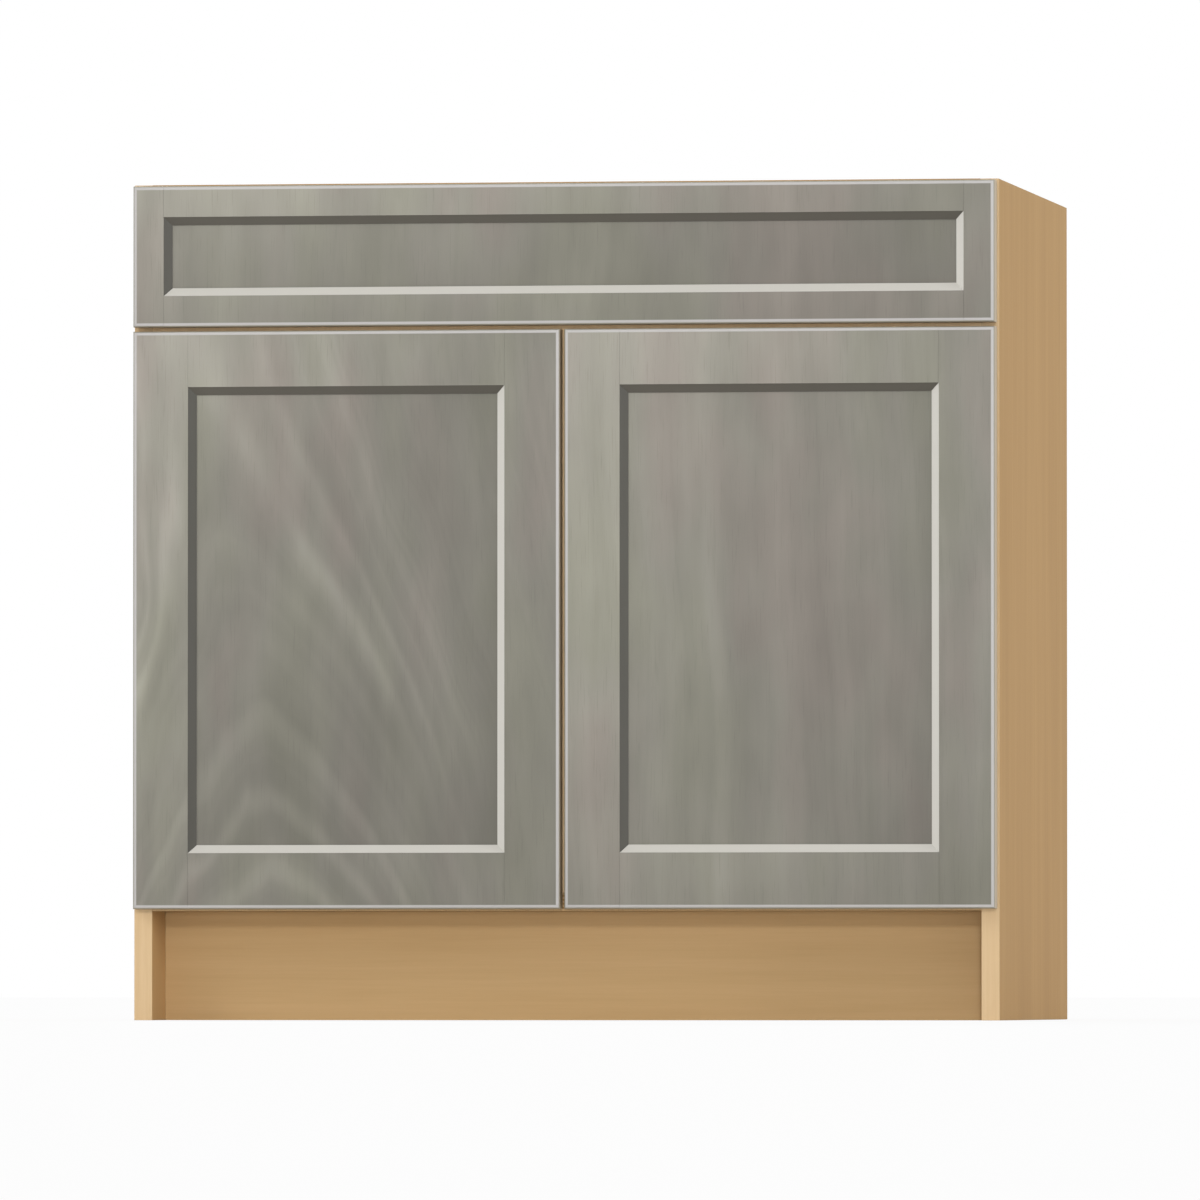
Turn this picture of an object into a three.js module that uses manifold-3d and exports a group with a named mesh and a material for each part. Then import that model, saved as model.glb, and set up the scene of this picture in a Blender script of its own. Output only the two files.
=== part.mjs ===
// Sink base cabinet: an open-topped plywood case, two recessed-panel doors on
// concealed hinges and one fixed false front above them.
// Millimetres. X runs to the right, Y from the front to the back, Z up.
// The origin is on the floor, in the middle of the footprint.
import * as THREE from "three";
import { mergeVertices } from "three/addons/utils/BufferGeometryUtils.js";
import Module from "manifold-3d";

const wasm = await Module();
wasm.setup();

// Whole cabinet: 36 x 24 x 34.5 in.
const width = 914.4; // outside of one side to the outside of the other
const depth = 609.6; // face of the doors to the rear edges of the sides
const height = 876.3; // floor to the top edges of the sides

// Case.
const boardThick = 19;
const bandThick = 0.9; // strip glued on the front edge of each side
const toeHeight = 114.3;
const toeRecess = 76; // front plane of the case to the face of the toe kick
const backThick = 6;
const backGroove = 8; // how deep the back panel goes into each side
const backRailHeight = 90;
const stretcherHeight = 90;
const dividerHeight = 44;
const centreStileWidth = 40;
const cornerLength = 90; // each short edge of a corner block
const cornerBore = 2.5; // radius of the hole for a screw up into the worktop
const cornerBoreInset = 28; // each short edge of a corner block to its hole

// Fronts.
const frontThick = 19;
const frontGap = 3; // between the case and the backs of the doors
const reveal = 2; // case showing round the outside of the fronts
const seam = 4.5; // between one front and the next
const falseHeight = 148;
const doorFlat = 58.5; // flat face of a door stile or rail
const falseFlat = 32.5; // flat face of a false front stile or rail
const edgeRound = 3.2; // rounded outer front edges
const quirk = 0.8; // small step at the top of the inner bevel
const bevelWide = 8.5;
const bevelDeep = 6.6;
const bevelLand = 1; // upright lip between the bevel and the panel
const railEndGap = 0.15; // end of a rail to the stile that it is shaped over
const panelThick = 6;
const panelHold = 10; // depth of the groove round the panel

// Hinges: a bored cup, a pin across it, a bent arm and a mounting plate.
const hingeInset = 100; // end of the door to the middle of the hinge
const cupRadius = 17.5; // bore in the stile
const cupDepth = 13; // depth of the bore
const cupInset = 21; // edge of the door to the middle of the bore
const cupWall = 0.8;
const rimWide = 1.5;
const rimThick = 1;
const wingHalf = 26; // half the length of the rim's screw wings
const wingReach = 17;
const wingCut = 3; // cut-off corners of the wings
const pinInset = 7.3; // edge of the door to the pin
const pinSunk = 9.5; // back of the door to the pin
const pinRadius = 1.2;
const pinHalf = 8;
const barrelWall = 0.7;
const armThick = 1.6;
const armHalf = 5.5; // half width of the neck of the arm
const armRearHalf = 8; // half width of the arm over the plate
const neckLength = 4; // front plane of the case to the end of the neck
const armSlope = 10; // length of the slope from the neck to the plate
const armStep = 2; // end of the slope to the wide part of the arm
const armTail = 4; // end of the plate to the end of the arm
const armClear = 2.7; // neck of the arm to the inner face of the side
const plateThick = 7;
const plateLength = 34;
const plateSetback = 22; // front plane of the case to the plate
const footThick = 3;
const footHalf = 24;
const footLength = 18;

// Small parts.
const bumperRadius = 4;
const bumperInset = 30; // free edge of the door to the bumper
const screwRadius = 2;
const screwHeadRadius = 4;
const screwHeadTall = 2.6;
const screwBite = 12; // how far a screw goes into the false front
const screwTip = 3;
const screwFromSide = 7.2; // inner face of the side to the screw
const screwSpacing = 40;
const screwDrop = 56; // top of the cabinet to the middle of a pair of screws

// Clearances.
const glueLine = 0.1; // between faces that touch
const slip = 0.3; // round a piece that turns or lies in a hole
const cupSlip = 0.2;
const floatGap = 1; // end of a panel or a tenon to the bottom of its groove
const past = 1; // how far a cutter runs past the face that it cuts

// Planes the pieces are set out from.
const faceY = -depth / 2;
const frontBackY = faceY + frontThick;
const caseY = frontBackY + frontGap;
const rearY = depth / 2;
const sideX = width / 2;
const insideX = sideX - boardThick;
const deckTop = toeHeight + boardThick;
const backY = rearY - boardThick - backThick; // front face of the back panel
const doorBottom = toeHeight + reveal;
const falseBottom = height - reveal - falseHeight;
const doorTop = falseBottom - seam;
const doorHeight = doorTop - doorBottom;
const doorWidth = (width - 2 * reveal - seam) / 2;
const falseWidth = width - 2 * reveal;
const dividerMid = (doorTop + falseBottom) / 2;
const stretcherY = frontBackY + glueLine; // stands forward to carry the false front
const screwX = insideX - screwFromSide;
const screwMidZ = height - screwDrop;
const panelFront = quirk + bevelDeep + bevelLand; // face of a front to its panel's groove

const roundFacets = 24;
const cupFacets = 48;
const roundingSteps = 4; // facets of a rounded edge

const birch = new THREE.MeshStandardMaterial({ color: 0xb5946a, roughness: 0.6, metalness: 0 });
const maple = new THREE.MeshStandardMaterial({ color: 0xd9ba8e, roughness: 0.55, metalness: 0 });
const stained = new THREE.MeshStandardMaterial({ color: 0x8d8b80, roughness: 0.5, metalness: 0 });
const nickel = new THREE.MeshStandardMaterial({ color: 0xb9bab8, roughness: 0.35, metalness: 1 });
const zinc = new THREE.MeshStandardMaterial({ color: 0xa7a8a6, roughness: 0.4, metalness: 1 });
const clear = new THREE.MeshStandardMaterial({ color: 0xd8dcd8, roughness: 0.4, metalness: 0 });

// Turns three.js geometry into a solid for cutting and joining.
function solid(geometry) {
  const bare = new THREE.BufferGeometry();
  bare.setAttribute("position", geometry.getAttribute("position").clone());
  if (geometry.index) bare.setIndex(geometry.index.clone());
  const merged = mergeVertices(bare, 1e-4);
  const index = merged.index.array;
  const at = merged.getAttribute("position");
  const corners = [0, 1, 2].map(() => new THREE.Vector3());
  const tris = [];
  let volume = 0;
  for (let i = 0; i < index.length; i += 3) {
    const [a, b, c] = [index[i], index[i + 1], index[i + 2]];
    if (a === b || b === c || c === a) continue;
    [a, b, c].forEach((v, k) => corners[k].fromBufferAttribute(at, v));
    volume += corners[0].dot(corners[1].clone().cross(corners[2]));
    tris.push(a, b, c);
  }
  if (volume < 0) tris.reverse();
  return new wasm.Manifold(new wasm.Mesh({
    numProp: 3,
    vertProperties: new Float32Array(at.array),
    triVerts: new Uint32Array(tris),
  }));
}

// Turns a solid back into three.js geometry.
function shell(body) {
  const mesh = body.getMesh();
  const geometry = new THREE.BufferGeometry();
  geometry.setAttribute("position", new THREE.BufferAttribute(mesh.vertProperties, 3));
  geometry.setIndex(new THREE.BufferAttribute(mesh.triVerts, 1));
  const flat = geometry.toNonIndexed();
  flat.computeVertexNormals();
  return flat;
}

function block(x, y, z) {
  const geometry = new THREE.BoxGeometry(Math.abs(x[1] - x[0]), y[1] - y[0], z[1] - z[0]);
  return geometry.translate((x[0] + x[1]) / 2, (y[0] + y[1]) / 2, (z[0] + z[1]) / 2);
}

// A flat outline carried straight up from z0 to z1.
function upright(points, z0, z1) {
  const shape = new THREE.Shape(points.map(([x, y]) => new THREE.Vector2(x, y)));
  const geometry = new THREE.ExtrudeGeometry(shape, { depth: z1 - z0, bevelEnabled: false });
  return geometry.translate(0, 0, z0);
}

// An outline given as [z, y] carried sideways from x0 to x1.
function sideways(points, x0, x1) {
  return upright(points, -x1, -x0).rotateY(-Math.PI / 2);
}

// An outline given as [x, z] carried back from y0 to y1.
function rearward(points, y0, y1) {
  return upright(points, -y1, -y0).rotateX(Math.PI / 2);
}

function pinShape(radius, z0, z1) {
  const geometry = new THREE.CylinderGeometry(radius, radius, z1 - z0, roundFacets);
  return geometry.rotateX(Math.PI / 2).translate(0, 0, (z0 + z1) / 2);
}

function disc(radius, y0, y1, facets = roundFacets) {
  const geometry = new THREE.CylinderGeometry(radius, radius, y1 - y0, facets);
  return geometry.translate(0, (y0 + y1) / 2, 0);
}

function turned(profile, facets) {
  return new THREE.LatheGeometry(profile.map(([r, y]) => new THREE.Vector2(r, y)), facets);
}

function add(group, name, geometry, material, place = [0, 0, 0]) {
  const mesh = new THREE.Mesh(geometry, material);
  mesh.name = name;
  mesh.position.set(...place);
  group.add(mesh);
  return mesh;
}

// A square-edged board between three pairs of planes.
function board(group, name, x, y, z, material) {
  const geometry = new THREE.BoxGeometry(x[1] - x[0], y[1] - y[0], z[1] - z[0]);
  const middle = [x, y, z].map(([low, high]) => (low + high) / 2);
  return add(group, name, geometry, material, middle);
}

// ---- Case ----

function caseSide(hand) {
  const rear = solid(block([0, hand * -boardThick], [caseY + bandThick + glueLine, rearY], [0, height]));
  const groove = solid(block(
    [hand * (-boardThick - past), hand * (-boardThick + backGroove)],
    [backY - glueLine, backY + backThick + glueLine],
    [-past, height + past],
  ));
  return shell(rear.subtract(groove));
}

function buildCase() {
  const group = new THREE.Group();
  const span = [-insideX + glueLine, insideX - glueLine];
  for (const [side, hand] of [["left", -1], ["right", 1]]) {
    add(group, `side_${side}`, caseSide(hand), birch, [hand * sideX, 0, 0]);
    const band = [hand * sideX, hand * insideX].sort((a, b) => a - b);
    board(group, `edge_band_${side}`, band, [caseY, caseY + bandThick], [0, height], maple);
  }
  board(group, "bottom_panel", span, [caseY, backY - glueLine], [toeHeight, deckTop], birch);
  const kickY = caseY + toeRecess;
  board(group, "toe_kick", span, [kickY, kickY + boardThick], [0, toeHeight - glueLine], birch);

  const backX = insideX + backGroove - floatGap;
  board(group, "back_panel", [-backX, backX], [backY, backY + backThick], [toeHeight, height], birch);
  const railY = [backY + backThick + glueLine, rearY];
  board(group, "back_rail_top", span, railY, [height - backRailHeight, height], birch);
  board(group, "back_rail_bottom", span, railY, [toeHeight, toeHeight + backRailHeight], birch);

  const stretcher = solid(block(
    span, [stretcherY, stretcherY + boardThick], [height - stretcherHeight, height],
  ));
  const holes = screwPlaces().map(([x, z]) => solid(
    disc(screwRadius + slip, stretcherY - past, stretcherY + boardThick + past).translate(x, 0, z),
  ));
  add(group, "front_stretcher", shell(stretcher.subtract(wasm.Manifold.union(holes))), birch);

  const stripY = [caseY, caseY + boardThick];
  const dividerZ = [dividerMid - dividerHeight / 2, dividerMid + dividerHeight / 2];
  board(group, "divider_rail", span, stripY, dividerZ, maple);
  const stileX = [-centreStileWidth / 2, centreStileWidth / 2];
  board(group, "centre_stile", stileX, stripY, [deckTop + glueLine, dividerZ[0] - glueLine], maple);

  const cornerX = insideX - glueLine;
  for (const [side, hand] of [["left", -1], ["right", 1]]) {
    for (const [end, y, way] of [
      ["front", stretcherY + boardThick + glueLine, 1],
      ["rear", backY - glueLine, -1],
    ]) {
      const outline = [[0, 0], [-hand * cornerLength, 0], [0, way * cornerLength]];
      const corner = solid(upright(outline, -boardThick, 0));
      const bore = solid(pinShape(cornerBore, -boardThick - past, past)
        .translate(-hand * cornerBoreInset, way * cornerBoreInset, 0));
      add(group, `corner_block_${end}_${side}`, shell(corner.subtract(bore)), birch,
        [hand * cornerX, y, height]);
    }
  }
  return group;
}

// ---- Fronts: stiles and rails round a floating panel ----

// Section of a stile or rail: [distance in from the outer edge, distance back from the face].
function memberSection(flat) {
  const inner = flat + bevelWide;
  const grooveBack = panelFront + panelThick + 2 * glueLine;
  return [
    [0, frontThick],
    ...roundedCorner(),
    [flat, 0],
    [flat, quirk],
    [inner, quirk + bevelDeep],
    [inner, panelFront],
    [inner - panelHold, panelFront],
    [inner - panelHold, grooveBack],
    [inner, grooveBack],
    [inner, frontThick],
  ];
}

function roundedCorner() {
  return Array.from({ length: roundingSteps + 1 }, (_, i) => {
    const turn = (i / roundingSteps) * (Math.PI / 2);
    return [edgeRound * (1 - Math.cos(turn)), edgeRound * (1 - Math.sin(turn))];
  });
}

// Side view of a piece with both ends rounded on the face.
function roundedEnds(length) {
  const near = roundedCorner();
  const far = near.map(([along, back]) => [length - along, back]).reverse();
  return [[0, frontThick], ...near, ...far, [length, frontThick]];
}

// Plan of a rail: each end is shaped over the stile's bevel and carries a tenon.
function railPlan(flat, length) {
  const inner = flat + bevelWide;
  const tenonFront = panelFront + glueLine;
  const tenonBack = tenonFront + panelThick;
  const tenonEnd = inner - panelHold + floatGap;
  const end = [
    [flat + railEndGap, -past],
    [flat + railEndGap, quirk],
    [inner + railEndGap, quirk + bevelDeep],
    [inner + railEndGap, tenonFront],
    [tenonEnd, tenonFront],
    [tenonEnd, tenonBack],
    [inner + railEndGap, tenonBack],
    [inner + railEndGap, frontThick + past],
  ];
  const far = end.map(([along, back]) => [length - along, back]).reverse();
  return [...end, ...far];
}

// Pieces of one front, with its lower left front corner at the origin.
// Bores are solids taken out of the stile on the side they lie on.
function buildFront(name, wide, tall, flat, bores) {
  const group = new THREE.Group();
  const inner = flat + bevelWide;
  const section = memberSection(flat);
  const ends = solid(sideways(roundedEnds(tall), -past, wide + past));
  for (const side of ["left", "right"]) {
    const across = section.map(([along, back]) => [side === "left" ? along : wide - along, back]);
    let stile = solid(upright(across, 0, tall)).intersect(ends);
    if (bores[side]) stile = stile.subtract(wasm.Manifold.union(bores[side]));
    add(group, `${name}_stile_${side}`, shell(stile), stained);
  }
  const plan = solid(upright(railPlan(flat, wide), -past, tall + past));
  for (const end of ["bottom", "top"]) {
    const up = section.map(([along, back]) => [end === "bottom" ? along : tall - along, back]);
    const rail = solid(sideways(up, 0, wide)).intersect(plan);
    add(group, `${name}_rail_${end}`, shell(rail), stained);
  }
  const edge = inner - panelHold + floatGap;
  const panelY = panelFront + glueLine;
  board(group, `${name}_panel`, [edge, wide - edge], [panelY, panelY + panelThick],
    [edge, tall - edge], stained);
  return group;
}

function buildFalseFront() {
  const left = -falseWidth / 2;
  const bores = { left: [], right: [] };
  for (const [x, z] of screwPlaces()) {
    const hole = disc(screwRadius + slip, frontThick - screwBite - slip, frontThick + past);
    bores[x < 0 ? "left" : "right"].push(solid(hole.translate(x - left, 0, z - falseBottom)));
  }
  const group = buildFront("false_front", falseWidth, falseHeight, falseFlat, bores);
  group.position.set(left, faceY, falseBottom);
  return group;
}

function buildDoor(side, hand) {
  const left = hand < 0 ? -sideX + reveal : sideX - reveal - doorWidth;
  const boreX = hand < 0 ? cupInset : doorWidth - cupInset;
  const bores = hingeHeights().map((z) => solid(
    disc(cupRadius, frontThick - cupDepth, frontThick + past, cupFacets).translate(boreX, 0, z - doorBottom),
  ));
  const group = buildFront(`door_${side}`, doorWidth, doorHeight, doorFlat, { [side]: bores });
  group.position.set(left, faceY, doorBottom);
  return group;
}

// ---- Hinges, set out from the pin; "in" is away from the cabinet's side ----

function hingeHeights() {
  return [doorBottom + hingeInset, doorTop - hingeInset];
}

// Strip of one thickness following a bent line.
function ribbon(path, thick) {
  const near = [];
  const far = [];
  path.forEach((point, i) => {
    const before = i > 0 ? path[i].clone().sub(path[i - 1]).normalize() : null;
    const after = i < path.length - 1 ? path[i + 1].clone().sub(point).normalize() : null;
    const along = (before ?? after).clone().add(after ?? before).normalize();
    const normal = new THREE.Vector2(-along.y, along.x);
    const square = new THREE.Vector2(-(after ?? before).y, (after ?? before).x);
    const offset = normal.multiplyScalar(thick / 2 / normal.dot(square));
    near.push(point.clone().add(offset));
    far.push(point.clone().sub(offset));
  });
  return [...near, ...far.reverse()].map((p) => [p.x, p.y]);
}

const flip = (hand, points) => points.map(([x, y]) => [-hand * x, y]);

const pinToCase = pinSunk + frontGap; // pin to the front plane of the case
const pinToInside = boardThick - reveal - pinInset; // pin to the inner face of the side
const neckX = pinToInside + armClear + armThick / 2;
const plateTopX = pinToInside + glueLine + plateThick;
const armRearX = plateTopX + glueLine + armThick / 2;
const slopeEndY = pinToCase + neckLength + armSlope;
const armEndY = pinToCase + plateSetback + plateLength + armTail;
const barrelRadius = pinRadius + slip + barrelWall;
const cupMiddleX = cupInset - pinInset;
const cupOuter = cupRadius - cupSlip;
const cupInner = cupOuter - cupWall;
const cupFloorY = pinSunk - cupDepth + cupSlip;

function hingeArm(hand) {
  const path = [[0, 0], [neckX, 0], [neckX, pinToCase + neckLength], [armRearX, slopeEndY],
    [armRearX, armEndY]].map(([x, y]) => new THREE.Vector2(x, y));
  const neck = solid(upright(flip(hand, ribbon(path, armThick)), -armHalf, armHalf));
  const rear = solid(block(
    [-hand * (armRearX - armThick / 2), -hand * (armRearX + armThick / 2)],
    [slopeEndY + armStep, armEndY],
    [-armRearHalf, armRearHalf],
  ));
  const barrel = solid(pinShape(barrelRadius, -armHalf, armHalf));
  const bore = solid(pinShape(pinRadius + slip, -armHalf - past, armHalf + past));
  return shell(wasm.Manifold.union([neck, rear, barrel]).subtract(bore));
}

function hingeCup(hand) {
  const rimY = pinSunk + glueLine;
  const topY = rimY + rimThick;
  const middle = -hand * cupMiddleX;
  const cup = solid(turned([
    [0, cupFloorY], [cupOuter, cupFloorY], [cupOuter, rimY], [cupOuter + rimWide, rimY],
    [cupOuter + rimWide, topY], [cupInner, topY], [cupInner, cupFloorY + cupWall],
    [0, cupFloorY + cupWall],
  ], cupFacets).translate(middle, 0, 0));
  const wings = solid(rearward(flip(hand, [
    [cupMiddleX, -wingHalf], [cupMiddleX + wingReach - wingCut, -wingHalf],
    [cupMiddleX + wingReach, -wingHalf + wingCut], [cupMiddleX + wingReach, wingHalf - wingCut],
    [cupMiddleX + wingReach - wingCut, wingHalf], [cupMiddleX, wingHalf],
  ]), rimY, topY));
  const mouth = solid(disc(cupInner, cupFloorY + cupWall, topY + past, cupFacets).translate(middle, 0, 0));
  const cheekHalf = armHalf + 2 * slip;
  const cheek = solid(block(
    [hand * (barrelRadius + slip), -hand * (barrelRadius + slip)],
    [cupFloorY, barrelRadius + slip],
    [-cupInner, cupInner],
  )).intersect(solid(disc(cupOuter, cupFloorY, topY, cupFacets).translate(middle, 0, 0)));
  const throat = solid(block(
    [hand * cupMiddleX, -hand * (barrelRadius + 2 * slip)],
    [cupFloorY + cupWall, topY + past],
    [-cheekHalf, cheekHalf],
  ));
  const bore = solid(pinShape(pinRadius + glueLine, -pinHalf - glueLine, pinHalf + glueLine));
  return shell(cup.add(wings.subtract(mouth)).add(cheek).subtract(throat).subtract(bore));
}

function hingePlate(hand) {
  const near = pinToInside + glueLine;
  const front = pinToCase + plateSetback;
  const middle = front + plateLength / 2;
  const spine = solid(block([-hand * near, -hand * plateTopX], [front, front + plateLength],
    [-armRearHalf, armRearHalf]));
  const foot = solid(block([-hand * near, -hand * (near + footThick)],
    [middle - footLength / 2, middle + footLength / 2], [-footHalf, footHalf]));
  return shell(spine.add(foot));
}

function buildHinge(side, hand, level, z) {
  const group = new THREE.Group();
  const name = `hinge_${side}_${level}`;
  add(group, `${name}_cup`, hingeCup(hand), nickel);
  add(group, `${name}_pin`, pinShape(pinRadius, -pinHalf, pinHalf), zinc);
  add(group, `${name}_arm`, hingeArm(hand), nickel);
  add(group, `${name}_plate`, hingePlate(hand), zinc);
  group.position.set(hand * (sideX - reveal - pinInset), frontBackY - pinSunk, z);
  return group;
}

// ---- Small parts ----

function screwPlaces() {
  const heights = [screwMidZ - screwSpacing / 2, screwMidZ + screwSpacing / 2];
  return [-screwX, screwX].flatMap((x) => heights.map((z) => [x, z]));
}

function buildScrews() {
  const group = new THREE.Group();
  const headY = stretcherY + boardThick + glueLine;
  const tipY = frontBackY - screwBite;
  const profile = [
    [0, tipY], [screwRadius, tipY + screwTip], [screwRadius, headY], [screwHeadRadius, headY],
    [screwHeadRadius, headY + screwHeadTall * 0.4], [screwHeadRadius * 0.65, headY + screwHeadTall * 0.9],
    [0, headY + screwHeadTall],
  ];
  const names = ["left_lower", "left_upper", "right_lower", "right_upper"];
  screwPlaces().forEach(([x, z], i) => {
    add(group, `screw_${names[i]}`, shell(solid(turned(profile, roundFacets))), zinc, [x, 0, z]);
  });
  return group;
}

function buildBumpers() {
  const group = new THREE.Group();
  const x = seam / 2 + bumperInset;
  const lowZ = (doorBottom + deckTop) / 2;
  const highZ = (dividerMid - dividerHeight / 2 + doorTop) / 2;
  for (const [side, hand] of [["left", -1], ["right", 1]]) {
    for (const [level, z] of [["lower", lowZ], ["upper", highZ]]) {
      const pad = disc(bumperRadius, frontBackY + glueLine, caseY - glueLine);
      add(group, `bumper_${side}_${level}`, pad, clear, [hand * x, 0, z]);
    }
  }
  return group;
}

const cabinet = new THREE.Group();
cabinet.name = "sink_base_cabinet";
cabinet.add(buildCase(), buildFalseFront(), buildScrews(), buildBumpers());
for (const [side, hand] of [["left", -1], ["right", 1]]) {
  cabinet.add(buildDoor(side, hand));
  hingeHeights().forEach((z, i) => {
    cabinet.add(buildHinge(side, hand, ["lower", "upper"][i], z));
  });
}

export default cabinet;
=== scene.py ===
import math

import bmesh
import bpy
from mathutils import Matrix, Vector


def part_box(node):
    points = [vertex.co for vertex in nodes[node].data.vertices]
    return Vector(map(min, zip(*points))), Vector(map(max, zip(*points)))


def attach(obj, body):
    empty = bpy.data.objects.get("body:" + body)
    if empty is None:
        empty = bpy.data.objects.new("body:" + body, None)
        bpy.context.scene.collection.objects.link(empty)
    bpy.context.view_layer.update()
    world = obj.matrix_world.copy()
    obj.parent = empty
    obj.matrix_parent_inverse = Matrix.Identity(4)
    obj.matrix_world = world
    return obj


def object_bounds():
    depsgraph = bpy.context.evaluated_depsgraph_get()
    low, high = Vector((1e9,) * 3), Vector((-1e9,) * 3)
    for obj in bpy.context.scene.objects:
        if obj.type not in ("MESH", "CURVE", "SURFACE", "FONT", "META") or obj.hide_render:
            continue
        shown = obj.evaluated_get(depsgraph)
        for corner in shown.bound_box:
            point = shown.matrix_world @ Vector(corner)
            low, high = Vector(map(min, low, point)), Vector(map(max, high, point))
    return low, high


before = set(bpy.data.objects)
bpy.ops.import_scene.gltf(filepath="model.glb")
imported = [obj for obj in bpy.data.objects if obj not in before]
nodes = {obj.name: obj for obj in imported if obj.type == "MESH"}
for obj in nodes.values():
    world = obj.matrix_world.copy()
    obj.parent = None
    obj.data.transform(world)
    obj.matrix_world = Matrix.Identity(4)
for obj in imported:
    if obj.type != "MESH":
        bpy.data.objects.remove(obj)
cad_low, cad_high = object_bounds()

SIDES = (("left", -1), ("right", 1))
LEVELS = ("lower", "upper")

# The section of the fronts, in metres, as the solids have it: the width of the bevel round the panel, the
# width of the rounded outer edge, and the width of the stiles and rails with their bevel.
BEVEL = 0.0085
EDGE = 0.0032
MEMBER = {"door_left": 0.067, "door_right": 0.067, "false_front": 0.041}


# ---- Colour and node helpers ----

def lin(r, g, b):
    """A colour given as 0-255 sRGB, as the shader wants it."""
    def one(v):
        v /= 255
        return v / 12.92 if v <= 0.04045 else ((v + 0.055) / 1.055) ** 2.4
    return (one(r), one(g), one(b), 1.0)


class Tree:
    """Builds one material's nodes with short calls."""

    def __init__(self, name):
        self.material = bpy.data.materials.new(name)
        self.material.use_nodes = True
        self.tree = self.material.node_tree
        self.shader = next(n for n in self.tree.nodes if n.type == "BSDF_PRINCIPLED")
        coords = self.node("ShaderNodeTexCoord")
        self.at = coords.outputs["Object"]
        parts = self.node("ShaderNodeSeparateXYZ")
        self.link(self.at, parts.inputs[0])
        self.x, self.y, self.z = parts.outputs
        normal = self.node("ShaderNodeSeparateXYZ")
        self.link(coords.outputs["Normal"], normal.inputs[0])
        self.nx, self.ny, self.nz = normal.outputs

    def node(self, kind, **settings):
        made = self.tree.nodes.new(kind)
        for key, value in settings.items():
            setattr(made, key, value)
        return made

    def link(self, source, socket):
        self.tree.links.new(source, socket)

    def put(self, value, socket):
        if isinstance(value, bpy.types.NodeSocket):
            self.link(value, socket)
        else:
            socket.default_value = value

    def math(self, operation, a, b=0.0):
        made = self.node("ShaderNodeMath", operation=operation)
        self.put(a, made.inputs[0])
        self.put(b, made.inputs[1])
        return made.outputs[0]

    def add(self, *values):
        total = values[0]
        for value in values[1:]:
            total = self.math("ADD", total, value)
        return total

    def times(self, a, b):
        return self.math("MULTIPLY", a, b)

    def less(self, a, b):
        return self.math("LESS_THAN", a, b)

    def step(self, value, low, high):
        """0 below low, 1 above high, smooth between."""
        made = self.node("ShaderNodeMapRange", interpolation_type="SMOOTHSTEP")
        self.put(value, made.inputs["Value"])
        made.inputs["From Min"].default_value = low
        made.inputs["From Max"].default_value = high
        return made.outputs["Result"]

    def spread(self, value, low, high):
        """0..1 to low..high, and no further."""
        made = self.node("ShaderNodeMapRange")
        self.put(value, made.inputs["Value"])
        made.inputs["To Min"].default_value = low
        made.inputs["To Max"].default_value = high
        return made.outputs["Result"]

    def sway(self, value, size):
        """0..1 to -size..size."""
        return self.spread(value, -size, size)

    def band(self, value, middle, half):
        """1 at middle, fading to 0 at half to either side."""
        return self.step(self.math("ABSOLUTE", self.add(value, -middle)), half, 0.0)

    def past(self, value, start, blend):
        """How far value is past start, coming in gently over blend."""
        made = self.node("ShaderNodeMath", operation="SMOOTH_MAX")
        self.put(self.add(value, -start), made.inputs[0])
        made.inputs[1].default_value = 0.0
        made.inputs[2].default_value = blend
        return made.outputs[0]

    def noise_along(self, scale, shift=(0, 0, 0), detail=2.0, rough=0.5, distortion=0.0):
        """Noise from 0 to 1. scale is its number of features to a metre along each axis, and shift
        moves it."""
        place = self.node("ShaderNodeMapping")
        self.link(self.at, place.inputs["Vector"])
        place.inputs["Scale"].default_value = scale
        place.inputs["Location"].default_value = shift
        made = self.node("ShaderNodeTexNoise", noise_dimensions="3D")
        self.link(place.outputs[0], made.inputs["Vector"])
        made.inputs["Scale"].default_value = 1.0
        made.inputs["Detail"].default_value = detail
        made.inputs["Roughness"].default_value = rough
        made.inputs["Distortion"].default_value = distortion
        return made.outputs[0]

    def noise(self, across, upward, shift=(0, 0, 0), detail=2.0, rough=0.5):
        """Noise for upright grain: its number of features to a metre across the grain and along it."""
        return self.noise_along((across, across, upward), shift, detail, rough)

    def even_noise(self, scale, shift=(0, 0, 0), detail=2.0, rough=0.5):
        return self.noise_along((scale, scale, scale), shift, detail, rough)

    def line_noise(self, value, scale, detail):
        """Noise from 0 to 1 that changes with value alone."""
        made = self.node("ShaderNodeTexNoise", noise_dimensions="1D")
        self.link(value, made.inputs["W"])
        made.inputs["Scale"].default_value = scale
        made.inputs["Detail"].default_value = detail
        return made.outputs[0]

    def ramp(self, value, stops):
        """The colour at value, between stops of place and colour."""
        made = self.node("ShaderNodeValToRGB")
        self.link(value, made.inputs[0])
        ramp = made.color_ramp
        while len(ramp.elements) < len(stops):
            ramp.elements.new(0.5)
        for element, (place, colour) in zip(ramp.elements, stops):
            element.position = place
            element.color = colour
        return made.outputs[0]

    def mix(self, factor, a, b, kind="MIX"):
        """Colours a and b mixed. The node's colour sockets are its inputs 6 and 7 and its output 2."""
        made = self.node("ShaderNodeMix", data_type="RGBA", blend_type=kind)
        self.put(factor, made.inputs[0])
        self.put(a, made.inputs[6])
        self.put(b, made.inputs[7])
        return made.outputs[2]

    def tinted(self, colour, tint_or_painted_light):
        return self.mix(1.0, colour, tint_or_painted_light, "MULTIPLY")

    def bump(self, height, distance, strength):
        made = self.node("ShaderNodeBump")
        self.link(height, made.inputs["Height"])
        made.inputs["Distance"].default_value = distance
        made.inputs["Strength"].default_value = strength
        self.link(made.outputs[0], self.shader.inputs["Normal"])

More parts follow.
